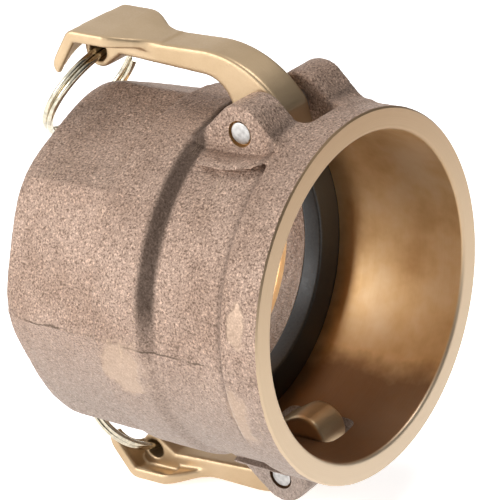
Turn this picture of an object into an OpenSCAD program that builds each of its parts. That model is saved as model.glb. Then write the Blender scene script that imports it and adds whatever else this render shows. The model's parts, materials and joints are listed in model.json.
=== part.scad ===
// Camlock coupling, 3 inch, type D: a female cam socket with a female pipe thread.
// One cast body, a gasket, and two cam arms on cross pins, each with a pull ring.
// X runs along the bore and out of the mouth, Y is parallel to the hinge pins and
// Z points at the upper arm. The origin is the centre of the mouth face.
// The lower half is the mirror image of the upper half.

/* [Body] */
// Length from the mouth face to the threaded end
body_length = 91; // [89:0.5:94]
// Radius of the machined socket bore
bore_radius = 46.2; // [46.0:0.1:46.4]
// Depth of the socket, from the mouth face to the gasket
bore_depth = 44; // [43:0.5:46]
// Outer radius of the rough band behind the mouth
mouth_radius = 52.7; // [52.4:0.1:53.5]
// Outer radius of the belt that carries the ears
belt_radius = 51; // [50.5:0.1:51.5]
// Radius of the octagon's corners
octagon_radius = 52.3; // [51.8:0.1:52.6]
// Radius of the passage between the gasket and the thread
throat_radius = 37.4; // [36.5:0.1:38]
// Plain wall radius that stands for the pipe thread
thread_radius = 42.2; // [41.8:0.1:42.4]
// Depth of the pipe thread from the threaded end
thread_length = 30; // [28:0.5:31]

/* [Ears] */
// Distance from the bore axis to each pin
pin_height = 52.1; // [52.0:0.1:52.4]
// Distance from the mouth face back to each pin
pin_setback = 23.7; // [23.4:0.1:24.0]
// Half the width across a pair of ears
ear_outer = 20; // [19.5:0.5:21]
// Half the gap between a pair of ears
ear_inner = 7.5; // [7:0.25:8]
// Radius of the ears' round tops
ear_radius = 8; // [7.6:0.1:8.4]
// Radius of the spotface round each pin
spotface_radius = 9.3; // [9:0.1:10]

/* [Pins] */
// Radius of a hinge pin, a quarter inch across
pin_radius = 3.175; // [3.1:0.025:3.2]
// Radial running clearance of an arm on its pin
pin_clearance = 0.08; // [0.04:0.01:0.1]
// Half the length of a pin
pin_half_length = 19.5; // [19:0.25:19.75]

/* [Gasket] */
// Inner radius of the gasket
gasket_inner = 37; // [36.8:0.1:38.1]
// Outer radius of the gasket
gasket_outer = 47.2; // [47:0.1:47.4]
// Thickness of the gasket, a quarter inch
gasket_thickness = 6.35; // [6.2:0.05:6.4]

/* [Arms] */
// Width of the arm's web, which holds the cam
web_width = 11.6; // [11:0.2:12]
// Width of the paddle at the arm's tail
paddle_width = 24.6; // [24:0.2:25]
// How far each arm has slid along its pin, towards -Y
arm_slide = 1.2; // [0:0.1:1.3]
// Radius of the arm's outer bend
elbow_radius = 31.5; // [31.3:0.1:31.7]
// Radius of the arm's hub round its pin
hub_radius = 5.5; // [5.4:0.1:5.6]
// Radius of the cam nose
nose_radius = 7.2; // [7:0.1:7.3]
// Thickness of the paddle's roof and walls
paddle_wall = 1.9; // [1.6:0.1:2.2]
// Depth of the lip round the paddle, from its outer face
lip_depth = 3.5; // [3:0.1:4]

/* [Rings] */
// Middle radius of a pull ring
ring_radius = 17; // [16.5:0.1:17.3]
// Radius of the ring's wire
wire_radius = 0.94; // [0.85:0.01:0.96]
// Angle between a ring and the plane across the bore
ring_lean = 35.8; // [34:0.1:40]
// Radius of the hole that holds a ring
ring_hole_radius = 3; // [2.9:0.1:3.2]

/* [Hidden] */
$fn = 96;

// Cuts run this far past the faces that they open.
past = 1;

// ---- body: stations along x, and radii
mouth_edge = 0.5;
band_back = -12;
belt_front = -13.4;
cove_front = -35.4;
cove_middle = -37.4;
cove_back = -40.4;
cove_rise = 0.3;
collar_rise = 0.2;
collar_radius = octagon_radius + collar_rise;
collar_back = -56.4;
collar_foot = -58.4;
octagon_inside = 46;
end_taper = 6.5;
end_radius = 49.5;
lip_chamfer = 1.2;
gasket_front = -bore_depth;
gasket_back = gasket_front - gasket_thickness;
groove_clearance = 0.15;
throat_length = 6.2;
throat_back = gasket_back - throat_length;
thread_back = thread_length - body_length;
thread_chamfer = 2.4;

// ---- ears, and the slots that the cams swing through
pin_place = [-pin_setback, pin_height];
ear_front = -8.3;
ear_back = -41.4;
ear_foot = 47;
ear_root = 44;
boss_rise = 0.1;
boss_rise_radius = mouth_radius + boss_rise;
boss_radius = 11.4;
boss_half_width = 30;
slot_mouth = [-10.2, 52];
slot_mouth_inside = [-15, 46.2];
slot_back = -39;
slot_low = 40;
slot_high = 62;
pin_mouth_radius = 3.75;
pin_mouth_depth = 0.6;

// ---- pins
pin_edge = 0.4;

// ---- gasket
gasket_edge = 0.8;

// ---- arm: points and angles in the x, z plane
hub_angle = 35;
elbow_middle = pin_place - (elbow_radius - hub_radius) * [cos(hub_angle), sin(hub_angle)];
arm_top = elbow_middle.y + elbow_radius;
nose_middle = [-24.4, 46.7];
heel = [-35.8, 45.3];
underside_radius = 9.5;
underside_middle = [heel.x - underside_radius, 52];
underside_back = [-74, 63.6];
ring_hole = [-82, 63.9];
lobe_radius = 4.9;
lobe_front_angle = -45;

// ---- paddle: its outer face runs from the shoulder over the roof and down to the tip
shoulder = [-65, arm_top];
roof_front = [-72.5, 70.9];
roof_corner = [-86.5, 71.6];
tip = [-95.3, 59.8];
corner_radius = 4;
corner_steps = 6;
tip_angle = atan2(roof_corner.y - tip.y, roof_corner.x - tip.x);
end_normal = [cos(tip_angle + 90), sin(tip_angle + 90)];
roof_angle = 90;
paddle_reach = 26;
notch_radius = 6.8;
shoulder_front = -63.5;
shoulder_back = -73.5;
shoulder_inset = 0.1;
shoulder_steps = 8;
plan_corner = 3;
hollow_end = 2;

// ---- rings: the middle of a ring hangs this far from its hole
ring_slack = 0.2;
coil_offset = 0.9;
wire_facets = 24;

// ---- small helpers
function unit(angle) = [cos(angle), sin(angle)];
function arc(middle, radius, from, to, steps) =
    [for (i = [0 : steps]) middle + radius * unit(from + (to - from) * i / steps)];
function direction(away) = atan2(away.y, away.x);
// An arc round `middle` from one point's direction to another's, anticlockwise when side is
// 1 and clockwise when it is -1.
function arc_between(middle, radius, start, end, side, steps) =
    let (from = direction(start - middle))
    let (turn = (side * (direction(end - middle) - from) + 720) % 360)
    arc(middle, radius, from, from + side * turn, steps);
// The point where a line from `outside` touches a circle; side is 1 or -1.
function touch(middle, radius, outside, side) =
    let (away = outside - middle)
    middle + radius * unit(direction(away) + side * acos(radius / norm(away)));
// The points where a straight line touches two circles, on the side given.
function belt(middle_a, radius_a, middle_b, radius_b, side) =
    let (away = middle_b - middle_a)
    let (angle = direction(away) + side * acos((radius_a - radius_b) / norm(away)))
    [middle_a + radius_a * unit(angle), middle_b + radius_b * unit(angle)];

// Turns a profile of [radius, x] points about the bore axis.
module turned(profile) rotate([0, 90, 0]) rotate_extrude() polygon(profile);
// Stands a drawing in the x, z plane and gives it a width across the pins.
module across(from, to) translate([0, to, 0]) rotate([90, 0, 0]) linear_extrude(to - from) children();
module circle_at(place, radius) translate(place) circle(r = radius);
module both_halves() {
    children();
    mirror([0, 0, 1]) children();
}
module both_sides() {
    children();
    mirror([0, 1, 0]) children();
}

// ---- body
module turned_outside() turned([
    [0, 0], [mouth_radius - mouth_edge, 0], [mouth_radius, -mouth_edge],
    [mouth_radius, band_back], [belt_radius, belt_front], [belt_radius, cove_front],
    [belt_radius + cove_rise, cove_middle], [collar_radius, cove_back],
    [collar_radius, collar_back], [octagon_inside, collar_foot], [0, collar_foot]]);

module octagon_end() intersection() {
    rotate([0, -90, 0]) cylinder(r = octagon_radius, h = body_length, $fn = 8);
    turned([[0, collar_back + past], [octagon_radius + past, collar_back + past],
        [octagon_radius + past, end_taper - body_length], [octagon_radius, end_taper - body_length],
        [end_radius, -body_length], [0, -body_length]]);
}

module ear_outline() {
    front = touch(pin_place, ear_radius, [ear_front, ear_foot], 1);
    back = touch(pin_place, ear_radius, [ear_back, ear_foot], -1);
    circle_at(pin_place, ear_radius);
    polygon([[ear_front, ear_foot], front, pin_place, back, [ear_back, ear_foot], [ear_back, ear_root],
        [ear_front, ear_root]]);
}

// A round boss on the belt, left as a rim by the spotfaces.
module boss() intersection() {
    rotate([0, -90, 0]) cylinder(r = boss_rise_radius, h = body_length);
    across(-boss_half_width, boss_half_width) circle_at(pin_place, boss_radius);
}

module socket_and_thread() turned([
    [0, past], [bore_radius + lip_chamfer + past, past], [bore_radius, -lip_chamfer],
    [bore_radius, gasket_front + groove_clearance],
    [gasket_outer + groove_clearance, gasket_front + groove_clearance],
    [gasket_outer + groove_clearance, gasket_back], [throat_radius, gasket_back],
    [throat_radius, throat_back], [thread_radius, thread_back],
    [thread_radius, thread_chamfer - body_length],
    [thread_radius + thread_chamfer + past, -body_length - past], [0, -body_length - past]]);

module arm_slot() {
    slope = (slot_mouth - slot_mouth_inside) / (slot_mouth.y - slot_mouth_inside.y);
    across(-ear_inner, ear_inner) polygon([
        slot_mouth + slope * (slot_high - slot_mouth.y),
        slot_mouth + slope * (slot_low - slot_mouth.y), [slot_back, slot_low], [slot_back, slot_high]]);
}

module pin_hole_and_spotface() {
    translate([pin_place.x, 0, pin_place.y]) rotate([-90, 0, 0]) {
        cylinder(r = pin_radius, h = ear_outer + past);
        translate([0, 0, ear_outer - pin_mouth_depth])
            cylinder(r1 = pin_radius, r2 = pin_mouth_radius + past, h = pin_mouth_depth + past);
        translate([0, 0, ear_outer]) cylinder(r = spotface_radius, h = boss_half_width);
    }
}

module coupler_body() color("rosybrown") difference() {
    union() {
        turned_outside();
        octagon_end();
        both_halves() {
            both_sides() across(ear_inner - past, ear_outer) ear_outline();
            boss();
        }
    }
    socket_and_thread();
    both_halves() {
        arm_slot();
        both_sides() pin_hole_and_spotface();
    }
}

// ---- gasket
module gasket() color("dimgray") turned([
    [gasket_inner + gasket_edge, gasket_front], [gasket_outer, gasket_front],
    [gasket_outer, gasket_back], [gasket_inner + gasket_edge, gasket_back],
    [gasket_inner, gasket_back + gasket_edge], [gasket_inner, gasket_front - gasket_edge]]);

// ---- pins
module pin() color("silver") translate([pin_place.x, 0, pin_place.y]) rotate([90, 0, 0])
    rotate_extrude() polygon([[0, -pin_half_length], [pin_radius - pin_edge, -pin_half_length],
        [pin_radius, pin_edge - pin_half_length], [pin_radius, pin_half_length - pin_edge],
        [pin_radius - pin_edge, pin_half_length], [0, pin_half_length]]);
module upper_pin() pin();
module lower_pin() mirror([0, 0, 1]) pin();

// ---- arms
// The web's side view, drawn round from the hub's cheek: nose, heel, underside, rib and
// its lobe, then back along the top and over the bend.
module web_outline() {
    cheek = belt(pin_place, hub_radius, nose_middle, nose_radius, 1);
    heel_line = touch(nose_middle, nose_radius, heel, 1);
    roof_middle = paddle_wall / 2;
    polygon(concat(
        arc_between(pin_place, hub_radius, pin_place + unit(hub_angle), cheek[0], -1, corner_steps),
        arc_between(nose_middle, nose_radius, cheek[1], heel_line, -1, 2 * corner_steps),
        [heel],
        arc(underside_middle, underside_radius, 0, 90, 2 * corner_steps),
        [underside_back],
        arc(ring_hole, lobe_radius, lobe_front_angle, -180, 2 * corner_steps),
        [[ring_hole.x - lobe_radius, roof_corner.y - roof_middle], roof_front - [0, roof_middle], shoulder],
        arc(elbow_middle, elbow_radius, 90, hub_angle, 3 * corner_steps)));
}

module web() across(-web_width / 2, web_width / 2) web_outline();

// Everything under the paddle's outer face, moved in by `inset`.
module under_paddle(inset) {
    corner_out = corner_radius - inset;
    half_turn = (tip_angle + 90 - roof_angle) / 2;
    corner_middle = roof_corner - corner_radius / cos(half_turn) * unit(roof_angle + half_turn);
    polygon(concat([shoulder - [0, inset], roof_front - [0, inset]],
        arc(corner_middle, corner_out, roof_angle, tip_angle + 90, corner_steps),
        [tip - inset * end_normal, tip - paddle_reach * end_normal]));
}

// The shoulders run in a smooth S from the web's width to the paddle's.
module paddle_plan() {
    function s_curve(t) = t * t * (3 - 2 * t);
    wide = paddle_width / 2;
    narrow = web_width / 2 - shoulder_inset;
    shoulders = [for (i = [0 : shoulder_steps]) let (t = i / shoulder_steps)
        [shoulder_front + (shoulder_back - shoulder_front) * t, narrow + (wide - narrow) * s_curve(t)]];
    corner = arc([tip.x + plan_corner, wide - plan_corner], plan_corner, 90, 180, corner_steps);
    one_side = concat(shoulders, corner);
    mirrored = [for (i = [len(one_side) - 1 : -1 : 0]) [one_side[i].x, -one_side[i].y]];
    polygon(concat(one_side, mirrored));
}

// The hollow between the side walls, from beyond the tip to the shoulders.
module hollow_plan() {
    inside = paddle_width / 2 - paddle_wall;
    translate([tip.x - past, -inside])
        square([shoulder_back + hollow_end - tip.x + past, 2 * inside]);
}

module paddle() difference() {
    height = roof_corner.y + past;
    intersection() {
        across(-paddle_width / 2, paddle_width / 2) difference() {
            under_paddle(0);
            under_paddle(lip_depth);
        }
        linear_extrude(height) paddle_plan();
    }
    intersection() {
        across(-paddle_width / 2, paddle_width / 2) under_paddle(paddle_wall);
        linear_extrude(height) hollow_plan();
    }
}

module cam_arm() color("burlywood") translate([0, -arm_slide, 0]) difference() {
    union() {
        web();
        paddle();
    }
    translate([pin_place.x, 0, pin_place.y]) rotate([90, 0, 0])
        cylinder(r = pin_radius + pin_clearance, h = paddle_width, center = true);
    translate([ring_hole.x, 0, ring_hole.y]) rotate([90, 0, 0])
        cylinder(r = ring_hole_radius, h = paddle_width, center = true);
    translate([tip.x, 0, tip.y]) rotate([0, -tip_angle, 0])
        cylinder(r = notch_radius, h = 4 * lip_depth, center = true);
}
module upper_cam_arm() cam_arm();
module lower_cam_arm() mirror([0, 0, 1]) cam_arm();

// ---- rings: two turns of wire side by side
module pull_ring() color("gainsboro")
    translate([ring_hole.x, -arm_slide, ring_hole.y]) rotate([0, ring_lean - 180, 0])
        translate([0, 0, ring_radius + ring_slack]) rotate([0, 90, 0])
            for (side = [-1, 1]) translate([0, 0, side * coil_offset])
                rotate_extrude() translate([ring_radius, 0])
                    circle(r = wire_radius, $fn = wire_facets);
module upper_ring() pull_ring();
module lower_ring() mirror([0, 0, 1]) pull_ring();

coupler_body();
gasket();
upper_cam_arm();
lower_cam_arm();
upper_pin();
lower_pin();
upper_ring();
lower_ring();
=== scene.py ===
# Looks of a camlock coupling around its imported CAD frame.
# The casting, the arms, the rings, the pins and the gasket are built here as meshes, in the
# row frame: X out of the mouth along the bore, Y along the pins, Z to the upper arm.
# Shapes are worked out in millimetres and turned into metres when a mesh is made.
import json
import math

import bmesh
import bpy
import numpy as np
import openvdb
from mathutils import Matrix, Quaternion, Vector, noise


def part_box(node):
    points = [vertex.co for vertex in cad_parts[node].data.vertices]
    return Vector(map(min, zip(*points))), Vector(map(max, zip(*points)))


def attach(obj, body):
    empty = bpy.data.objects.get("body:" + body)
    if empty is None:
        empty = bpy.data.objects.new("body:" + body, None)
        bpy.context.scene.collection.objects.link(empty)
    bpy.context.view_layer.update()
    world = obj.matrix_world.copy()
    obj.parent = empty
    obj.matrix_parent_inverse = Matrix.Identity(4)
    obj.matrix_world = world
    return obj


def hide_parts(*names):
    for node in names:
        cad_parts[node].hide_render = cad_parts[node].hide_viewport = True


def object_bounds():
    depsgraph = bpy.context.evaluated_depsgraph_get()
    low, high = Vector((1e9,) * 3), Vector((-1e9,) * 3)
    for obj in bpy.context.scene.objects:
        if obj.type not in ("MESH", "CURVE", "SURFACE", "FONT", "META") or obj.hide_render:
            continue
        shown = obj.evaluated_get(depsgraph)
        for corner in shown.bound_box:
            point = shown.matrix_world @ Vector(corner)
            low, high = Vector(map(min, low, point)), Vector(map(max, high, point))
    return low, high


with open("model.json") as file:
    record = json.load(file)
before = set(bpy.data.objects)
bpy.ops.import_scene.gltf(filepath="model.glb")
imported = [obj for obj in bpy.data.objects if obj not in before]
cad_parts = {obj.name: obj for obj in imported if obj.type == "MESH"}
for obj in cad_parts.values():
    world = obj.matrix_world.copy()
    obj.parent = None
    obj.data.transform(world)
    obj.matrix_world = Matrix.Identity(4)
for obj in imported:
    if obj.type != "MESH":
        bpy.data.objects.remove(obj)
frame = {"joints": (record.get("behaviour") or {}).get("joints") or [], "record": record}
cad_low, cad_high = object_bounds()

MM = 0.001


# ---------------------------------------------------------------- sizes from the frame
def box_mm(node):
    low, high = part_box(node)
    return low / MM, high / MM


record = frame["record"]
mounts = {mount["name"]: mount for mount in record["mounts"]}
joints = {joint["name"]: joint for joint in frame["joints"]}

body_low, body_high = box_mm("coupler_body")
gasket_low, gasket_high = box_mm("gasket")
pin_low, pin_high = box_mm("upper_pin")
arm_low, arm_high = box_mm("upper_cam_arm")
ring_low, ring_high = box_mm("upper_ring")

body_length = -body_low.x
mouth_radius = body_high.y
bore_radius = mounts["adapter_socket"]["dims"]["r_mm"]
thread_radius = mounts["thread_port"]["dims"]["r_mm"]
pin_place = Vector(joints["upper_arm_hinge"]["pos_m"]) / MM
ring_hole = Vector(joints["upper_ring_swing"]["pos_m"]) / MM
pin_radius = (pin_high.x - pin_low.x) / 2
pin_half_length = pin_high.y
arm_slide = (arm_low.y + arm_high.y) / 2
paddle_half = (arm_high.y - arm_low.y) / 2

# Casting: radii and stations along x
belt_radius = mouth_radius - 1.7
collar_radius = mouth_radius - 0.2
octagon_radius = mouth_radius - 0.4
octagon_apothem = octagon_radius * math.cos(math.pi / 8)
band_back = -12.0
belt_front = -13.0
cove_front = -35.4
cove_back = -40.4
collar_back = -56.2
collar_foot = -57.8
foot_radius = 46.0
end_round = 2.2
end_taper = 6.5
end_radius = 49.5
throat_radius = 37.4
lip_round = 1.2
throat_back = gasket_low.x - 6.2
throat_wall = 4.4
throat_half_length = 5.0
octagon_front = -50.0
facing_stock = 0.3
face_edge_radius = 52.2
lathe_reach = 58.0
cutter_reach = 60.0
casting_step = 0.75

# Casting: the line where the halves of the mould met
parting_start = -56.0
parting_slope = -0.035

# Thread: pitch, depth of the V, and how far the groove winds in
thread_pitch = 25.4 / 8
thread_depth = 0.8 * thread_pitch
thread_inner = -61.0
thread_turns = 9.6
thread_air = 0.14
thread_chamfer = 2.4
root_half_width = 0.06

# Casting: ears, the ledges below them, and slots
ear_outer = pin_half_length + 0.5
ear_inner = 7.5
ear_radius = body_high.z - pin_place.z
ear_front = -8.3
ear_back = -41.4
ear_foot = 47.0
ear_root = 44.0
boss_rise_radius = mouth_radius + 0.6
rim_width = 1.6
rim_reach = 11.0
boss_half_width = 30.0
ledge_foot = [(-18.0, -4.2), (-11.0, -5.6), (-1.6, -5.9), (6.5, -5.0), (12.0, -3.3), (14.2, -1.4)]
cut_top = 66.0
slot_mouth = (-10.2, 52.0)
slot_mouth_inside = (-15.0, 46.2)
slot_back = -39.0
slot_bottom = 36.0

# Arm: side view and plan
web_half = 5.8
hub_radius = 5.5
hub_angle = 35.0
elbow_radius = 31.5
nose_middle = (-24.4, 46.7)
nose_radius = 7.2
heel = (-35.8, 45.3)
underside_radius = 9.5
underside_middle = (heel[0] - underside_radius, 52.0)
underside_back = (-74.0, 63.6)
lobe_radius = 4.9
roof_front = (-77.0, 71.4)
roof_corner = (-86.9, arm_high.z)
tip = (-95.3, 59.8)
corner_radius = 4.0
paddle_wall = 1.9
hollow_front = -72.5
lip_depth = 3.5
shoulder_lip = 2.4
paddle_reach = 26.0
notch_radius = 6.8
shoulder_front = -59.0
shoulder_back = -75.5
plan_corner = 3.0
ring_hole_radius = 3.0
pin_clearance = 0.08
arm_top = pin_place.z + elbow_radius - (elbow_radius - hub_radius) * math.sin(math.radians(hub_angle))
arm_step = 0.4

# Rings: the wire, half the step between its two turns, and where the wire crosses over
wire_radius = 0.92
coil_half_step = 0.9
ring_outside = 0.96
crossing_start = 344.0
crossing_length = 32.0
wire_start = 14.0
wire_end = 706.0
wire_lead = 118.0

# Camera: angles in degrees, the rest in metres, the lens for a 36 mm wide sensor
camera_azimuth = 39.957
camera_elevation = 23.862
camera_roll = -6.951
camera_distance = 0.66389
camera_lens = 167.2
aim_offset = Vector((0.00342, 0.0043, 0.0037))


# ---------------------------------------------------------------- signed distance fields
class Grid:
    """A box of sample points, in millimetres, and the values that fields are worked out on."""

    def __init__(self, low, high, step):
        self.low = np.array(low, float)
        self.step = step
        axes = [np.arange(a, b + step, step) for a, b in zip(low, high)]
        self.x = axes[0][:, None, None].astype(np.float32)
        self.y = axes[1][None, :, None].astype(np.float32)
        self.z = axes[2][None, None, :].astype(np.float32)


def outline_field(points, u, v):
    """Distance from (u, v) to a closed outline, negative inside it."""
    corners = np.array(points, np.float32)
    nearest = np.full(np.broadcast(u, v).shape, 1e9, np.float32)
    inside = np.zeros(nearest.shape, bool)
    for (u0, v0), (u1, v1) in zip(corners, np.roll(corners, -1, 0)):
        length_squared = max((u1 - u0) ** 2 + (v1 - v0) ** 2, 1e-9)
        along = ((u - u0) * (u1 - u0) + (v - v0) * (v1 - v0)) / length_squared
        along = np.clip(along, 0, 1)
        gap = (u - u0 - along * (u1 - u0)) ** 2 + (v - v0 - along * (v1 - v0)) ** 2
        nearest = np.minimum(nearest, gap)
        if v0 != v1:
            crossing = ((v0 <= v) != (v1 <= v)) & (u < (u1 - u0) * (v - v0) / (v1 - v0) + u0)
            inside ^= crossing
    return np.where(inside, -1, 1) * np.sqrt(nearest)


def turned_field(profile, grid):
    """A profile of (x, radius) points turned about the bore axis."""
    spacing = 0.35
    radius = np.hypot(grid.y, grid.z)[0]
    samples = np.arange(0, radius.max() + 2 * spacing, spacing)[None, :]
    table = outline_field(profile, grid.x[:, :, 0], samples)
    place = radius / spacing
    below = place.astype(int)
    share = (place - below).astype(np.float32)
    return table[:, below] * (1 - share) + table[:, below + 1] * share


def joined(a, b, blend):
    """Both fields together, with a fillet about as wide as blend."""
    share = np.clip(0.5 + 0.5 * (b - a) / blend, 0, 1)
    return b * (1 - share) + a * share - blend * share * (1 - share)


def shared(a, b, blend):
    """Where the two fields overlap, with its edges rounded."""
    return -joined(-a, -b, blend)


def less(a, b, blend):
    """The first field with the second cut away, with the cut's edges rounded."""
    return shared(a, -b, blend)


def field_mesh(name, values, grid):
    """A closed quad mesh of a field's zero surface, in metres."""
    volume = openvdb.FloatGrid(float(values.max()))
    volume.copyFromArray(np.ascontiguousarray(values, np.float32))
    points, quads = volume.convertToQuads(0.0)
    points = (points * grid.step + grid.low) * MM
    return quad_mesh(name, points, quads[:, ::-1])


def quad_mesh(name, points, faces):
    mesh = bpy.data.meshes.new(name)
    mesh.from_pydata(points.tolist(), [], [[int(i) for i in face] for face in faces])
    mesh.update()
    return mesh


# ---------------------------------------------------------------- outlines
def unit(degrees):
    return np.array((math.cos(math.radians(degrees)), math.sin(math.radians(degrees))))


def arc(middle, radius, start, end, steps):
    return [tuple(np.array(middle) + radius * unit(start + (end - start) * i / steps))
            for i in range(steps + 1)]


def direction(away):
    return math.degrees(math.atan2(away[1], away[0]))


def touch(middle, radius, outside, side):
    """Where a line from a point outside touches a circle; side is 1 or -1."""
    away = np.array(outside) - np.array(middle)
    reach = math.degrees(math.acos(radius / np.linalg.norm(away)))
    return tuple(np.array(middle) + radius * unit(direction(away) + side * reach))


def belt_line(middle_a, radius_a, middle_b, radius_b, side):
    """Where a straight line touches two circles."""
    away = np.array(middle_b) - np.array(middle_a)
    reach = math.degrees(math.acos((radius_a - radius_b) / np.linalg.norm(away)))
    angle = direction(away) + side * reach
    return (np.array(middle_a) + radius_a * unit(angle), np.array(middle_b) + radius_b * unit(angle))


# ---------------------------------------------------------------- meshes of revolution
def turned_mesh(name, profile, segments, material_index=0):
    """Turns (x, radius) points about the bore axis; points on the axis close the ends."""
    points, rows = [], []
    for x, radius in profile:
        if radius == 0:
            rows.append([len(points)] * segments)
            points.append((x, 0, 0))
            continue
        rows.append(list(range(len(points), len(points) + segments)))
        for i in range(segments):
            angle = 2 * math.pi * i / segments
            points.append((x, radius * math.cos(angle), radius * math.sin(angle)))
    faces = []
    for row, following in zip(rows, rows[1:]):
        for i in range(segments):
            j = (i + 1) % segments
            corners = [row[i], row[j], following[j], following[i]]
            faces.append([c for n, c in enumerate(corners) if c not in corners[:n]])
    mesh = bpy.data.meshes.new(name)
    mesh.from_pydata([tuple(c * MM for c in point) for point in points], [], faces)
    mesh.polygons.foreach_set("material_index", [material_index] * len(faces))
    mesh.update()
    return mesh


def new_object(name, mesh):
    made = bpy.data.objects.new(name, mesh)
    bpy.context.scene.collection.objects.link(made)
    return made


def weld(mesh):
    """Joins points that lie on one another."""
    work = bmesh.new()
    work.from_mesh(mesh)
    bmesh.ops.remove_doubles(work, verts=work.verts, dist=1e-7)
    work.to_mesh(mesh)
    work.free()


def turn_outwards(mesh):
    """Flips a closed mesh whose faces point inwards."""
    mesh.calc_loop_triangles()
    corners = np.empty(len(mesh.loop_triangles) * 3, np.int32)
    mesh.loop_triangles.foreach_get("vertices", corners)
    points = np.empty(len(mesh.vertices) * 3)
    mesh.vertices.foreach_get("co", points)
    a, b, c = np.moveaxis(points.reshape(-1, 3)[corners.reshape(-1, 3)], 1, 0)
    if np.einsum("ij,ij->i", a, np.cross(b, c)).sum() < 0:
        mesh.flip_normals()


def carve(target, cutters):
    """Cuts closed meshes out of an object and leaves the result as its own mesh."""
    for cutter in cutters:
        turn_outwards(cutter.data)
        step = target.modifiers.new("cut", "BOOLEAN")
        step.operation = "DIFFERENCE"
        step.solver = "MANIFOLD"
        step.object = cutter
    depsgraph = bpy.context.evaluated_depsgraph_get()
    result = bpy.data.meshes.new_from_object(target.evaluated_get(depsgraph), depsgraph=depsgraph)
    target.modifiers.clear()
    target.data = result
    for cutter in cutters:
        bpy.data.objects.remove(cutter)


def smooth_shading(mesh, degrees):
    mesh.shade_smooth()
    mesh.set_sharp_from_angle(angle=math.radians(degrees))


# ---------------------------------------------------------------- casting
def octagon_field(grid):
    flats = None
    for side in range(8):
        angle = math.radians(22.5 + 45 * side)
        reach = grid.y * math.cos(angle) + grid.z * math.sin(angle) - octagon_apothem
        flats = reach if flats is None else shared(flats, reach, 0.8)
    # a little stock past the end, for the lathe to face off
    ends = np.maximum(-body_length - facing_stock - grid.x, grid.x - octagon_front)
    lean = math.atan2(octagon_radius - end_radius, end_taper)
    cone = (np.hypot(grid.y, grid.z) - end_radius) * math.cos(lean)
    cone = cone - (grid.x + body_length) * math.sin(lean)
    return shared(shared(flats, cone, 1.6), ends, end_round)


def ear_outline():
    front = touch(pin_place.xz, ear_radius, (ear_front, ear_foot), 1)
    back = touch(pin_place.xz, ear_radius, (ear_back, ear_foot), -1)
    top = arc(pin_place.xz, ear_radius, direction(np.array(front) - pin_place.xz),
              direction(np.array(back) - pin_place.xz), 16)
    return [(ear_front, ear_root), (ear_front, ear_foot), *top, (ear_back, ear_foot),
            (ear_back, ear_root)]


def ledge_outline():
    """The cut that flattens an ear's outer face; its lower edge stands above the belt."""
    pin = pin_place.xz
    foot = [(pin.x + x, pin.y + z) for x, z in ledge_foot]
    return [(foot[0][0], cut_top), *foot, (foot[-1][0], cut_top)]


def slot_outline():
    slope = (slot_mouth[0] - slot_mouth_inside[0]) / (slot_mouth[1] - slot_mouth_inside[1])
    return [(slot_mouth[0] + slope * (cut_top - slot_mouth[1]), cut_top),
            (slot_mouth[0] + slope * (slot_bottom - slot_mouth[1]), slot_bottom),
            (slot_back, slot_bottom), (slot_back, cut_top)]


def casting_field(grid):
    across = np.abs(grid.y)
    up = np.abs(grid.z)
    radius = np.hypot(grid.y, grid.z)
    outside = turned_field([
        (3, 0), (3, mouth_radius), (band_back, mouth_radius), (belt_front, belt_radius - 0.2),
        (belt_front - 3, belt_radius),
        (cove_front, belt_radius), (cove_front - 1, belt_radius - 0.1), (cove_back + 0.6, collar_radius),
        (collar_back, collar_radius), (collar_foot, foot_radius), (collar_foot, 0)], grid)
    shape = joined(outside, octagon_field(grid), 0.8)
    ear = outline_field(ear_outline(), grid.x, up)
    cheek = np.abs(across - (ear_outer + ear_inner - 1) / 2) - (ear_outer - ear_inner + 1) / 2
    shape = joined(shape, shared(ear, cheek, 1.3), 2.6)
    ledge = outline_field(ledge_outline(), grid.x, up)
    rim = shared(radius - boss_rise_radius, ledge - rim_width, 0.9)
    rim = shared(rim, pin_place.x - rim_reach - grid.x, 1.8)
    shape = joined(shape, np.maximum(rim, across - boss_half_width), 0.9)
    shape = less(shape, np.maximum(ledge, ear_outer - across), 0.8)
    slot = outline_field(slot_outline(), grid.x, up)
    shape = less(shape, shared(slot, across - ear_inner, 3.0), 1.3)
    # the throat behind the gasket keeps its cast skin
    core = np.maximum(radius - throat_radius, throat_radius - throat_wall - radius)
    middle = (gasket_low.x + throat_back) / 2
    core = np.maximum(core, np.abs(grid.x - middle) - throat_half_length)
    return np.maximum(shape, -core)


def parting_line(x):
    """Height of the line where the halves of the mould met, along the -Y side."""
    return parting_slope * max(0.0, x - parting_start)


def sand_skin(mesh):
    """Moves a casting's surface by the unevenness that a sand mould leaves."""
    count = len(mesh.vertices)
    points = np.empty(count * 3)
    normals = np.empty(count * 3)
    mesh.vertices.foreach_get("co", points)
    mesh.vertex_normals.foreach_get("vector", normals)
    points = points.reshape(-1, 3)
    normals = normals.reshape(-1, 3)
    moved = np.empty(count)
    for i, point in enumerate(points):
        place = Vector(point) / MM
        swell = 0.10 * noise.noise(place / 14)
        dimple = 0.07 * noise.noise(place / 3.2)
        grain = 0.06 * noise.noise(place / 1.1)
        from_line = place.z - parting_line(place.x)
        fin = 0.22 * math.exp(-(from_line / 0.5) ** 2) * (place.y < 0 and place.x < belt_front)
        moved[i] = swell + dimple + grain + fin
    points += normals * (moved * MM)[:, None]
    mesh.vertices.foreach_set("co", points.ravel())
    # the ends are left for the lathe to cut, so only the sides are held
    spare = Vector((4, 0, 0))
    keep_inside(mesh, body_low - spare, body_high + spare)


def keep_inside(mesh, low, high):
    """Holds a mesh's points inside a box given in millimetres."""
    points = np.empty(len(mesh.vertices) * 3)
    mesh.vertices.foreach_get("co", points)
    points = np.clip(points.reshape(-1, 3), np.array(low) * MM, np.array(high) * MM)
    mesh.vertices.foreach_set("co", points.ravel())
    mesh.update()


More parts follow.
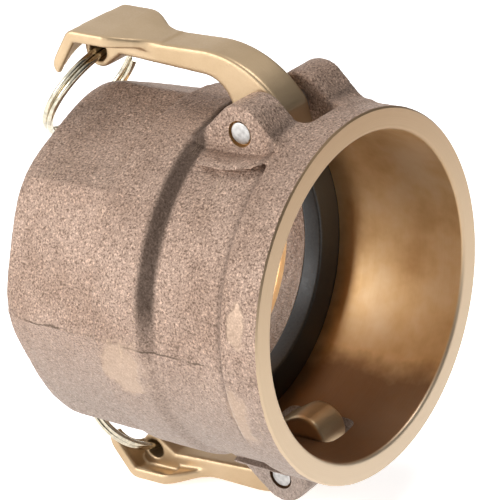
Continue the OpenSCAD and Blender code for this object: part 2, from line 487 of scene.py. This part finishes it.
def bore_cutter():
    """Everything that the lathe takes off: face, socket, gasket groove and thread bore."""
    thread_mouth = minor_radius(-body_length)
    return turned_mesh("bore_cutter", [
        (5, 0), (5, lathe_reach), (face_edge_radius - lathe_reach, lathe_reach),
        (0, mouth_radius - 0.5), (0, bore_radius + lip_round),
        *arc((-lip_round, bore_radius + lip_round), lip_round, -10, -80, 5),
        (-lip_round, bore_radius), (gasket_high.x + 0.15, bore_radius),
        (gasket_high.x + 0.15, gasket_high.y + 0.15), (gasket_low.x, gasket_high.y + 0.15),
        (gasket_low.x, throat_radius - 2), (throat_back + 2, throat_radius - 2),
        (thread_inner, minor_radius(thread_inner)), (thread_chamfer - body_length, thread_mouth),
        (-body_length, thread_mouth + thread_chamfer), (-body_length, cutter_reach),
        (-body_length - 5, cutter_reach), (-body_length - 5, 0)], 256, 1)


def minor_radius(x):
    """Crest radius of the taper thread, 1 in 16 on the diameter."""
    return thread_radius - 0.45 + (-body_length - x) / 32


def thread_cutter():
    """A V groove that winds from outside the end face into the bore."""
    segments = 96
    start = -body_length - 2.5
    deep = thread_depth + thread_air
    base_half_width = deep * math.tan(math.radians(30)) + root_half_width
    points, faces = [], []
    steps = int(segments * thread_turns)
    for i in range(steps + 1):
        angle = 2 * math.pi * i / segments
        x = start + thread_pitch * i / segments
        fade = min(1.0, (steps - i) / (0.9 * segments))
        crest = minor_radius(x) - thread_air
        root = crest + deep * (fade * 1.25 - 0.25)
        for dx, radius in ((-base_half_width, crest), (-root_half_width, root),
                           (root_half_width, root), (base_half_width, crest)):
            points.append((x + dx, radius * math.cos(angle), radius * math.sin(angle)))
    for i in range(steps):
        for k in range(4):
            m = (k + 1) % 4
            faces.append((4 * i + k, 4 * i + m, 4 * i + 4 + m, 4 * i + 4 + k))
    faces.append((3, 2, 1, 0))
    faces.append((4 * steps, 4 * steps + 1, 4 * steps + 2, 4 * steps + 3))
    mesh = bpy.data.meshes.new("thread_cutter")
    mesh.from_pydata([tuple(c * MM for c in point) for point in points], [], faces)
    mesh.polygons.foreach_set("material_index", [1] * len(faces))
    mesh.update()
    return mesh


def pin_hole_cutter(side):
    """The drilled hole through a pair of ears, opened out at both mouths."""
    mouth = pin_radius + 0.55
    mesh = turned_mesh("pin_hole_cutter", [
        (-30, 0), (-30, mouth), (-ear_outer + 1.7, mouth), (-ear_outer + 2.2, pin_radius + 0.02),
        (ear_outer - 2.2, pin_radius + 0.02), (ear_outer - 1.7, mouth), (30, mouth), (30, 0)], 48, 1)
    mesh.transform(Quaternion((0, 0, 1), math.radians(90)).to_matrix().to_4x4())
    for vertex in mesh.vertices:
        vertex.co += Vector((pin_place.x, 0, side * pin_place.z)) * MM
    return mesh


def make_casting(cast, machined):
    grid = Grid((-body_length - 3, -mouth_radius - 2, -body_high.z - 2),
                (4, mouth_radius + 2, body_high.z + 2), casting_step)
    mesh = field_mesh("casting", casting_field(grid), grid)
    turn_outwards(mesh)
    sand_skin(mesh)
    mesh.materials.append(cast)
    mesh.materials.append(machined)
    casting = new_object("casting", mesh)
    cutters = [bore_cutter(), thread_cutter(), pin_hole_cutter(1), pin_hole_cutter(-1)]
    for cutter in cutters:
        cutter.materials.append(cast)
        cutter.materials.append(machined)
    carve(casting, [new_object(cutter.name, cutter) for cutter in cutters])
    smooth_shading(casting.data, 35)
    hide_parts("coupler_body")
    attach(casting, "body")
    return casting


# ---------------------------------------------------------------- arms
def web_outline():
    pin = tuple(pin_place.xz)
    middle = np.array(pin) - (elbow_radius - hub_radius) * unit(hub_angle)
    cheek = belt_line(pin, hub_radius, nose_middle, nose_radius, 1)
    heel_line = touch(nose_middle, nose_radius, heel, 1)
    cheek_angle = direction(cheek[0] - np.array(pin))
    heel_angle = direction(np.array(heel_line) - np.array(nose_middle))
    roof_middle = paddle_wall / 2
    return [
        *arc(pin, hub_radius, hub_angle, cheek_angle, 8),
        *arc(nose_middle, nose_radius, cheek_angle,
             heel_angle - 360 * (heel_angle > cheek_angle), 16),
        heel, *arc(underside_middle, underside_radius, 0, 90, 12), underside_back,
        *arc(ring_hole.xz, lobe_radius, -45, -180, 12),
        (ring_hole.x - lobe_radius, roof_corner[1] - roof_middle),
        (roof_front[0] + 3, roof_front[1] - 2 * roof_middle), (-62, middle[1] + elbow_radius),
        *arc(middle, elbow_radius, 90, hub_angle, 24)]


def paddle_outline(inset, shoulder_inset=None):
    """The paddle's outer face in side view, moved in by inset, and all that lies under it."""
    if shoulder_inset is None:
        shoulder_inset = inset
    fall = math.degrees(math.atan2(roof_corner[1] - tip[1], roof_corner[0] - tip[0]))
    normal = unit(fall + 90)
    half_turn = fall / 2
    middle = np.array(roof_corner) - corner_radius / math.cos(math.radians(half_turn)) * unit(90 + half_turn)
    rise = []
    for i in range(9):
        t = i / 8
        part = t * t * (3 - 2 * t)
        rise.append((shoulder_front + (roof_front[0] - shoulder_front) * t,
                     arm_top - shoulder_inset + (roof_front[1] - inset - arm_top + shoulder_inset) * part))
    return [*rise,
            *arc(middle, corner_radius - inset, 90, fall + 90, 8),
            tuple(np.array(tip) - inset * normal), tuple(np.array(tip) - paddle_reach * normal)]


def paddle_plan():
    narrow = web_half - 1.4
    edge = []
    for i in range(13):
        t = i / 12
        rise = t * t * (3 - 2 * t)
        edge.append((shoulder_front + (shoulder_back - shoulder_front) * t,
                     narrow + (paddle_half - narrow) * rise))
    edge += arc((tip[0] + plan_corner, paddle_half - plan_corner), plan_corner, 90, 180, 8)
    return edge + [(x, -y) for x, y in reversed(edge)]


def arm_field(grid):
    y = grid.y - arm_slide
    across = np.abs(y)
    web = shared(outline_field(web_outline(), grid.x, grid.z), across - web_half, 1.3)
    under = outline_field(paddle_outline(0), grid.x, grid.z)
    lip = outline_field(paddle_outline(lip_depth, shoulder_lip), grid.x, grid.z)
    plan = outline_field(paddle_plan(), grid.x, y)
    shell = shared(shared(under, -lip, 0.9), plan, 0.9)
    hollow = outline_field(paddle_outline(paddle_wall), grid.x, grid.z)
    inside = paddle_half - paddle_wall
    hollow = shared(hollow, np.maximum(across - inside, grid.x - hollow_front), 1.6)
    shell = less(shell, hollow, 0.7)
    shape = joined(shell, web, 1.3)
    fall = math.degrees(math.atan2(roof_corner[1] - tip[1], roof_corner[0] - tip[0]))
    lean = unit(fall)
    along = (grid.x - tip[0]) * lean[0] + (grid.z - tip[1]) * lean[1]
    shape = less(shape, np.hypot(along, y) - notch_radius, 0.7)
    ring_bore = np.hypot(grid.x - ring_hole.x, grid.z - ring_hole.z) - ring_hole_radius
    shape = less(shape, ring_bore, 0.6)
    pin_bore = np.hypot(grid.x - pin_place.x, grid.z - pin_place.z) - pin_radius - pin_clearance
    return less(shape, pin_bore, 0.4)


def make_arms(brass):
    grid = Grid((arm_low.x - 2, arm_low.y - 2, arm_low.z - 2),
                (arm_high.x + 2, arm_high.y + 2, arm_high.z + 2), arm_step)
    upper = field_mesh("upper_arm_brass", arm_field(grid), grid)
    turn_outwards(upper)
    lower = upper.copy()
    for vertex in lower.vertices:
        vertex.co.z = -vertex.co.z
    lower.flip_normals()
    for name, mesh in (("upper", upper), ("lower", lower)):
        keep_inside(mesh, *box_mm(name + "_cam_arm"))
        smooth_shading(mesh, 60)
        mesh.materials.append(brass)
        arm = new_object(name + "_lever", mesh)
        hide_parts(name + "_cam_arm")
        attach(arm, name + "_arm")


# ---------------------------------------------------------------- pins, gasket, rings
def make_pins(steel):
    edge = 0.45
    for name, side in (("upper", 1), ("lower", -1)):
        half = pin_half_length
        mesh = turned_mesh(name + "_pin_steel", [
            (-half, 0), (-half, 1.2), (-half, pin_radius - edge), (-half + 0.12, pin_radius - 0.15),
            (-half + edge, pin_radius), (0, pin_radius), (half - edge, pin_radius),
            (half - 0.12, pin_radius - 0.15), (half, pin_radius - edge), (half, 1.2), (half, 0)], 64)
        mesh.transform(Quaternion((0, 0, 1), math.radians(90)).to_matrix().to_4x4())
        for vertex in mesh.vertices:
            vertex.co += Vector((pin_place.x, 0, side * pin_place.z)) * MM
        turn_outwards(mesh)
        smooth_shading(mesh, 40)
        mesh.materials.append(steel)
        pin = new_object(name + "_hinge_pin", mesh)
        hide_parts(name + "_pin")
        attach(pin, "body")


def make_gasket(rubber):
    inner = 37.0
    outer = gasket_high.y
    front, back = gasket_high.x, gasket_low.x
    corner = 0.8
    profile = [
        *arc((front - corner, inner + corner), corner, 270, 360, 6),
        *arc((front - 0.4, outer - 0.4), 0.4, 0, 90, 4),
        *arc((back + 0.4, outer - 0.4), 0.4, 90, 180, 4),
        *arc((back + corner, inner + corner), corner, 180, 270, 6)]
    profile.append(profile[0])
    mesh = turned_mesh("gasket_rubber", profile, 192)
    weld(mesh)
    turn_outwards(mesh)
    smooth_shading(mesh, 40)
    mesh.materials.append(rubber)
    seal = new_object("face_gasket", mesh)
    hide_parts("gasket")
    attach(seal, "body")


def make_rings(steel):
    middle = (ring_low + ring_high) / 2
    outward = Vector((middle.x - ring_hole.x, 0, middle.z - ring_hole.z)).normalized()
    radius = (ring_high.y - ring_low.y) / 2 - ring_outside
    sides = 16
    per_turn = 96
    steps = int(per_turn * (wire_end - wire_start) / 360)
    for name, side in (("upper", 1), ("lower", -1)):
        along = Vector((outward.x, 0, side * outward.z))
        centre = Vector((middle.x, middle.y, side * middle.z))
        normal = along.cross(Vector((0, 1, 0)))
        points, faces = [], []
        for i in range(steps + 1):
            angle = wire_start + (wire_end - wire_start) * i / steps
            t = min(1.0, max(0.0, (angle - crossing_start) / crossing_length))
            offset = coil_half_step * (2 * t * t * (3 - 2 * t) - 1)
            turn = math.radians(angle + wire_lead)
            out = along * math.cos(turn) + Vector((0, 1, 0)) * math.sin(turn)
            shrink = 1 - 0.25 * (i in (0, steps))
            for k in range(sides):
                spin = 2 * math.pi * k / sides
                points.append(centre + out * (radius + wire_radius * shrink * math.cos(spin))
                              + normal * (offset + wire_radius * shrink * math.sin(spin)))
        for i in range(steps):
            for k in range(sides):
                m = (k + 1) % sides
                faces.append((sides * i + k, sides * i + m, sides * (i + 1) + m, sides * (i + 1) + k))
        faces.append(tuple(range(sides))[::-1])
        faces.append(tuple(range(sides * steps, sides * (steps + 1))))
        mesh = bpy.data.meshes.new(name + "_ring_wire")
        mesh.from_pydata([tuple(point * MM) for point in points], [], faces)
        mesh.update()
        turn_outwards(mesh)
        smooth_shading(mesh, 50)
        mesh.materials.append(steel)
        ring = new_object(name + "_split_ring", mesh)
        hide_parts(name + "_ring")
        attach(ring, name + "_pull_ring")


# ---------------------------------------------------------------- materials
class Nodes:
    """A material's node tree, with a short way to add linked nodes."""

    def __init__(self, name):
        self.material = bpy.data.materials.new(name)
        self.material.use_nodes = True
        self.tree = self.material.node_tree
        self.shader = self.tree.nodes["Principled BSDF"]
        self.place = self.add("ShaderNodeTexCoord").outputs["Object"]

    def add(self, kind, values=(), **settings):
        node = self.tree.nodes.new(kind)
        for key, value in settings.items():
            setattr(node, key, value)
        for socket, value in dict(values).items():
            self.put(node.inputs[socket], value)
        return node

    def put(self, socket, value):
        if isinstance(value, bpy.types.NodeSocket):
            self.tree.links.new(value, socket)
        else:
            socket.default_value = value

    def grain(self, scale, detail=2.0, rough=0.5, place=None):
        texture = self.add("ShaderNodeTexNoise", {
            "Vector": place or self.place, "Scale": scale, "Detail": detail, "Roughness": rough})
        return texture.outputs["Fac"]

    def ramp(self, value, stops):
        node = self.add("ShaderNodeValToRGB", {"Fac": value})
        elements = node.color_ramp.elements
        while len(elements) < len(stops):
            elements.new(0.5)
        for element, (position, colour) in zip(elements, stops):
            element.position = position
            element.color = (*colour, 1) if len(colour) == 3 else colour
        return node.outputs["Color"]

    def span(self, value, low, high, out_low=0.0, out_high=1.0):
        return self.add("ShaderNodeMapRange", {
            "Value": value, "From Min": low, "From Max": high, "To Min": out_low,
            "To Max": out_high}).outputs["Result"]

    def mix(self, share, a, b, blend="MIX"):
        node = self.add("ShaderNodeMix", data_type="RGBA", blend_type=blend)
        self.put(node.inputs["Factor"], share)
        for socket, value in zip([s for s in node.inputs if s.type == "RGBA"], (a, b)):
            self.put(socket, (*value, 1) if isinstance(value, tuple) else value)
        return next(s for s in node.outputs if s.type == "RGBA")

    def maths(self, kind, a, b=0.0):
        node = self.add("ShaderNodeMath", operation=kind)
        self.put(node.inputs[0], a)
        self.put(node.inputs[1], b)
        return node.outputs[0]

    def bump(self, height, distance, strength=1.0, below=None):
        node = self.add("ShaderNodeBump", {"Height": height, "Distance": distance, "Strength": strength})
        if below is not None:
            self.put(node.inputs["Normal"], below)
        return node.outputs["Normal"]

    def shade(self, **values):
        for key, value in values.items():
            self.put(self.shader.inputs[key.replace("_", " ")], value)


# Middle and reach of each dressed place, in metres
ground_places = [
    ((-0.0480, -0.0520, -0.0070), (0.0080, 0.02, 0.0085)),
    ((-0.0100, -0.0500, -0.0150), (0.0040, 0.02, 0.0100)),
    ((-0.0070, -0.0500, 0.0130), (0.0030, 0.02, 0.0060))]


def cast_bronze():
    n = Nodes("sand_cast_bronze")
    fine = n.grain(1700, 2.0, 0.7)
    coarse = n.grain(600, 2.0)
    cloud = n.grain(70, 3.0)
    parts = n.add("ShaderNodeSeparateXYZ", {"Vector": n.place})
    x, y, z = (parts.outputs[axis] for axis in "XYZ")
    tint = n.ramp(cloud, [(0.35, (0.365, 0.252, 0.19)), (0.65, (0.445, 0.32, 0.25))])
    grains = n.ramp(fine, [(0.35, (0.13, 0.10, 0.08)), (0.46, (0.43, 0.42, 0.41)),
                           (0.57, (0.54, 0.54, 0.54)), (0.68, (0.95, 0.93, 0.90))])
    # the lower half is greyer and its grain is softer
    tint = n.mix(n.span(z, 0.004, -0.030), tint, (0.36, 0.285, 0.24))
    colour = n.mix(n.span(z, -0.020, 0.006, 0.45, 0.8), tint, grains, "OVERLAY")
    # painted shade in the cove behind the belt, from the top down to a little below the middle
    cove_painted_shade = n.maths("MULTIPLY", n.span(x, (cove_back - 1.4) * MM, (cove_back + 0.6) * MM),
                      n.span(x, (cove_front + 0.7) * MM, (cove_front - 0.9) * MM))
    cove_painted_shade = n.maths("MULTIPLY", cove_painted_shade, n.span(z, -0.004, 0.012, 0.0, 0.82))
    colour = n.mix(cove_painted_shade, colour, (0.05, 0.028, 0.017))
    # painted shade in the step behind the band
    step_painted_shade = n.maths("MULTIPLY", n.span(x, (belt_front - 2.2) * MM, (belt_front - 0.8) * MM),
                      n.span(x, (belt_front + 0.6) * MM, belt_front * MM))
    colour = n.mix(n.maths("MULTIPLY", step_painted_shade, 0.45), colour, (0.12, 0.08, 0.06))
    # the line where the halves of the mould met; a painted shadow darkens it along the fin
    past_start = n.maths("MAXIMUM", n.maths("SUBTRACT", x, parting_start * MM), 0.0)
    line = n.maths("MULTIPLY", past_start, parting_slope)
    wander = n.span(n.grain(260, 3.0), 0.3, 0.7, -0.0004, 0.0004)
    gap = n.maths("ABSOLUTE", n.maths("ADD", n.maths("SUBTRACT", z, line), wander))
    parting_painted_shadow = n.maths("MULTIPLY", n.span(gap, 0.00040, 0.00012), n.span(y, -0.03, -0.04))
    parting_painted_shadow = n.maths("MULTIPLY", parting_painted_shadow, n.span(n.grain(160, 2.0), 0.42, 0.5, 0.15, 0.8))
    colour = n.mix(n.maths("MULTIPLY", parting_painted_shadow, n.span(x, -0.012, -0.014)), colour, (0.09, 0.055, 0.035))
    # places dressed smooth with a wheel beside that line
    dressed = None
    for place, reach in ground_places:
        away = n.add("ShaderNodeVectorMath", operation="SUBTRACT")
        n.put(away.inputs[0], n.place)
        away.inputs[1].default_value = place
        scaled = n.add("ShaderNodeVectorMath", operation="DIVIDE")
        n.put(scaled.inputs[0], away.outputs[0])
        scaled.inputs[1].default_value = reach
        length = n.add("ShaderNodeVectorMath", operation="LENGTH")
        n.put(length.inputs[0], scaled.outputs[0])
        edge = n.maths("ADD", length.outputs["Value"], n.span(n.grain(180, 3.0), 0.3, 0.7, -0.35, 0.35))
        spot = n.span(edge, 1.1, 0.8)
        dressed = spot if dressed is None else n.maths("MAXIMUM", dressed, spot)
    colour = n.mix(n.maths("MULTIPLY", dressed, 0.55), colour, (0.50, 0.355, 0.25))
    # a few thin bright scratches
    stretch = n.add("ShaderNodeMapping", {"Vector": n.place})
    stretch.inputs["Scale"].default_value = (22.0, 1.2, 1.2)
    stretch.inputs["Rotation"].default_value = (0.0, 0.7, 0.5)
    scratch = n.grain(30.0, 1.0, 0.5, stretch.outputs[0])
    from_middle = n.maths("ABSOLUTE", n.maths("SUBTRACT", scratch, 0.5))
    thin = n.maths("MULTIPLY", n.span(from_middle, 0.006, 0.001), n.span(n.grain(55, 2.0), 0.60, 0.66))
    colour = n.mix(n.maths("MULTIPLY", thin, 0.6), colour, (0.62, 0.45, 0.30))
    rough = n.mix(dressed, n.span(coarse, 0.3, 0.7, 0.50, 0.68), n.span(coarse, 0.3, 0.7, 0.36, 0.44))
    n.shade(Base_Color=colour, Metallic=0.55, Roughness=rough)
    height = n.maths("ADD", n.maths("MULTIPLY", fine, 0.7), coarse)
    height = n.maths("MULTIPLY", height, n.span(dressed, 0.0, 1.0, 1.0, 0.12))
    n.shade(Normal=n.bump(height, 0.0004, 0.9))
    return n.material


def machined_bronze():
    n = Nodes("machined_bronze")
    parts = n.add("ShaderNodeSeparateXYZ", {"Vector": n.place})
    radius = n.maths("SQRT", n.maths("ADD", n.maths("POWER", parts.outputs["Y"], 2.0),
                                     n.maths("POWER", parts.outputs["Z"], 2.0)))
    lane = n.add("ShaderNodeCombineXYZ", {"X": parts.outputs["X"], "Y": radius})
    marks = n.grain(3200, 2.0, 0.6, lane.outputs[0])
    cloud = n.grain(45, 4.0, 0.6)
    tint = n.ramp(cloud, [(0.30, (0.62, 0.36, 0.155)), (0.5, (0.78, 0.52, 0.265)),
                          (0.7, (0.86, 0.64, 0.40))])
    # painted shade on the bottom of the socket and of the thread
    depth = n.maths("ADD", parts.outputs["Z"], n.span(cloud, 0.3, 0.7, -0.002, 0.002))
    floor_painted_shade = n.span(depth, -0.0355, -0.0400)
    tint = n.mix(n.maths("MULTIPLY", floor_painted_shade, 0.85), tint, (0.22, 0.12, 0.07))
    # the outer face is paler than the socket's wall; painted shade darkens it towards its top, so it is
    # palest at its bottom
    on_face = n.span(parts.outputs["X"], -0.0012, -0.0004)
    face = n.ramp(n.span(parts.outputs["Z"], 0.050, -0.050), [
        (0.0, (0.40, 0.27, 0.16)), (0.5, (0.57, 0.43, 0.29)), (1.0, (0.64, 0.51, 0.37))])
    tint = n.mix(on_face, tint, face)
    n.shade(Base_Color=tint, Metallic=0.95, Roughness=n.span(marks, 0.3, 0.7, 0.40, 0.54))
    n.shade(Normal=n.bump(marks, 0.00006, 0.6))
    return n.material


def satin_brass():
    n = Nodes("satin_brass")
    cloud = n.grain(60, 3.0)
    fine = n.grain(1800, 2.0)
    tint = n.ramp(cloud, [(0.35, (0.52, 0.375, 0.225)), (0.65, (0.60, 0.445, 0.28))])
    n.shade(Base_Color=tint, Metallic=0.95, Roughness=n.span(fine, 0.3, 0.7, 0.40, 0.50))
    n.shade(Normal=n.bump(fine, 0.00006, 0.4))
    return n.material


def bright_steel(name, tint, low, high):
    n = Nodes(name)
    streak = n.grain(700, 3.0)
    n.shade(Base_Color=n.mix(n.span(streak, 0.4, 0.7), tint, tuple(c * 0.7 for c in tint)), Metallic=1.0)
    n.shade(Roughness=n.span(streak, 0.3, 0.7, low, high))
    n.shade(Normal=n.bump(streak, 0.00008, 0.4))
    return n.material


def gasket_rubber():
    n = Nodes("gasket_rubber")
    fine = n.grain(1500, 2.0)
    n.shade(Base_Color=n.ramp(fine, [(0.3, (0.012, 0.011, 0.010)), (0.7, (0.03, 0.028, 0.026))]))
    n.shade(Roughness=n.span(fine, 0.3, 0.7, 0.35, 0.5), Normal=n.bump(fine, 0.00005, 0.4))
    return n.material


def pale_floor():
    n = Nodes("pale_floor")
    white = n.ramp(n.grain(3), [(0.0, (0.93, 0.93, 0.93)), (1.0, (0.96, 0.96, 0.96))])
    n.shade(Base_Color=white, Roughness=0.8, Emission_Color=white, Emission_Strength=0.7)
    return n.material


# ---------------------------------------------------------------- studio
def place_camera():
    """The viewing angle: azimuth from -Y, elevation above the floor, and a slight roll."""
    azimuth, elevation, roll = (
        math.radians(angle) for angle in (camera_azimuth, camera_elevation, camera_roll))
    aim = (cad_low + cad_high) / 2 + aim_offset
    back = Vector((math.sin(azimuth) * math.cos(elevation), -math.cos(azimuth) * math.cos(elevation),
                   math.sin(elevation)))
    data = bpy.data.cameras.new("camera")
    data.sensor_width = 36.0
    data.lens = camera_lens
    data.clip_start, data.clip_end = 0.01, 20.0
    camera = new_object("camera", data)
    camera.rotation_mode = "QUATERNION"
    camera.location = aim + back * camera_distance
    camera.rotation_quaternion = (-back).to_track_quat("-Z", "Y") @ Quaternion((0, 0, 1), roll)
    bpy.context.scene.camera = camera


def area_light(name, azimuth, elevation, distance, size, power):
    centre = (cad_low + cad_high) / 2
    a, e = math.radians(azimuth), math.radians(elevation)
    back = Vector((math.sin(a) * math.cos(e), -math.cos(a) * math.cos(e), math.sin(e)))
    data = bpy.data.lights.new(name, "AREA")
    data.shape = "DISK"
    data.size = size
    data.energy = power
    lamp = new_object(name, data)
    lamp.location = centre + back * distance
    lamp.rotation_mode = "QUATERNION"
    lamp.rotation_quaternion = (-back).to_track_quat("-Z", "Y")


def build_studio():
    floor = turned_mesh("floor", [(cad_low.z / MM - 0.3, 0), (cad_low.z / MM - 0.3, 4000)], 64)
    floor.transform(Quaternion((0, 1, 0), math.radians(-90)).to_matrix().to_4x4())
    floor.materials.append(pale_floor())
    new_object("floor", floor)
    world = bpy.data.worlds.new("studio")
    bpy.context.scene.world = world
    world.use_nodes = True
    tree = world.node_tree
    place = tree.nodes.new("ShaderNodeTexCoord").outputs["Generated"]
    towards = tree.nodes.new("ShaderNodeVectorMath")
    towards.operation = "DOT_PRODUCT"
    tree.links.new(place, towards.inputs[0])
    towards.inputs[1].default_value = (-0.90, -0.25, -0.15)
    fall = tree.nodes.new("ShaderNodeMapRange")
    fall.interpolation_type = "SMOOTHSTEP"
    tree.links.new(towards.outputs["Value"], fall.inputs["Value"])
    for socket, value in (("From Min", -0.6), ("From Max", 0.45), ("To Min", 0.06), ("To Max", 1.0)):
        fall.inputs[socket].default_value = value
    tree.links.new(fall.outputs["Result"], tree.nodes["Background"].inputs["Strength"])
    tree.nodes["Background"].inputs["Color"].default_value = (1, 1, 1, 1)
    area_light("left_softbox", -35, 22, 1.2, 0.7, 6.5)
    area_light("top_softbox", 140, 70, 1.3, 0.5, 6)
    bpy.context.scene.view_settings.view_transform = "Standard"


# ---------------------------------------------------------------- the object
make_casting(cast_bronze(), machined_bronze())
make_arms(satin_brass())
make_pins(bright_steel("pin_steel", (0.56, 0.54, 0.52), 0.30, 0.5))
make_rings(bright_steel("ring_steel", (0.66, 0.60, 0.47), 0.08, 0.2))
make_gasket(gasket_rubber())
build_studio()
place_camera()
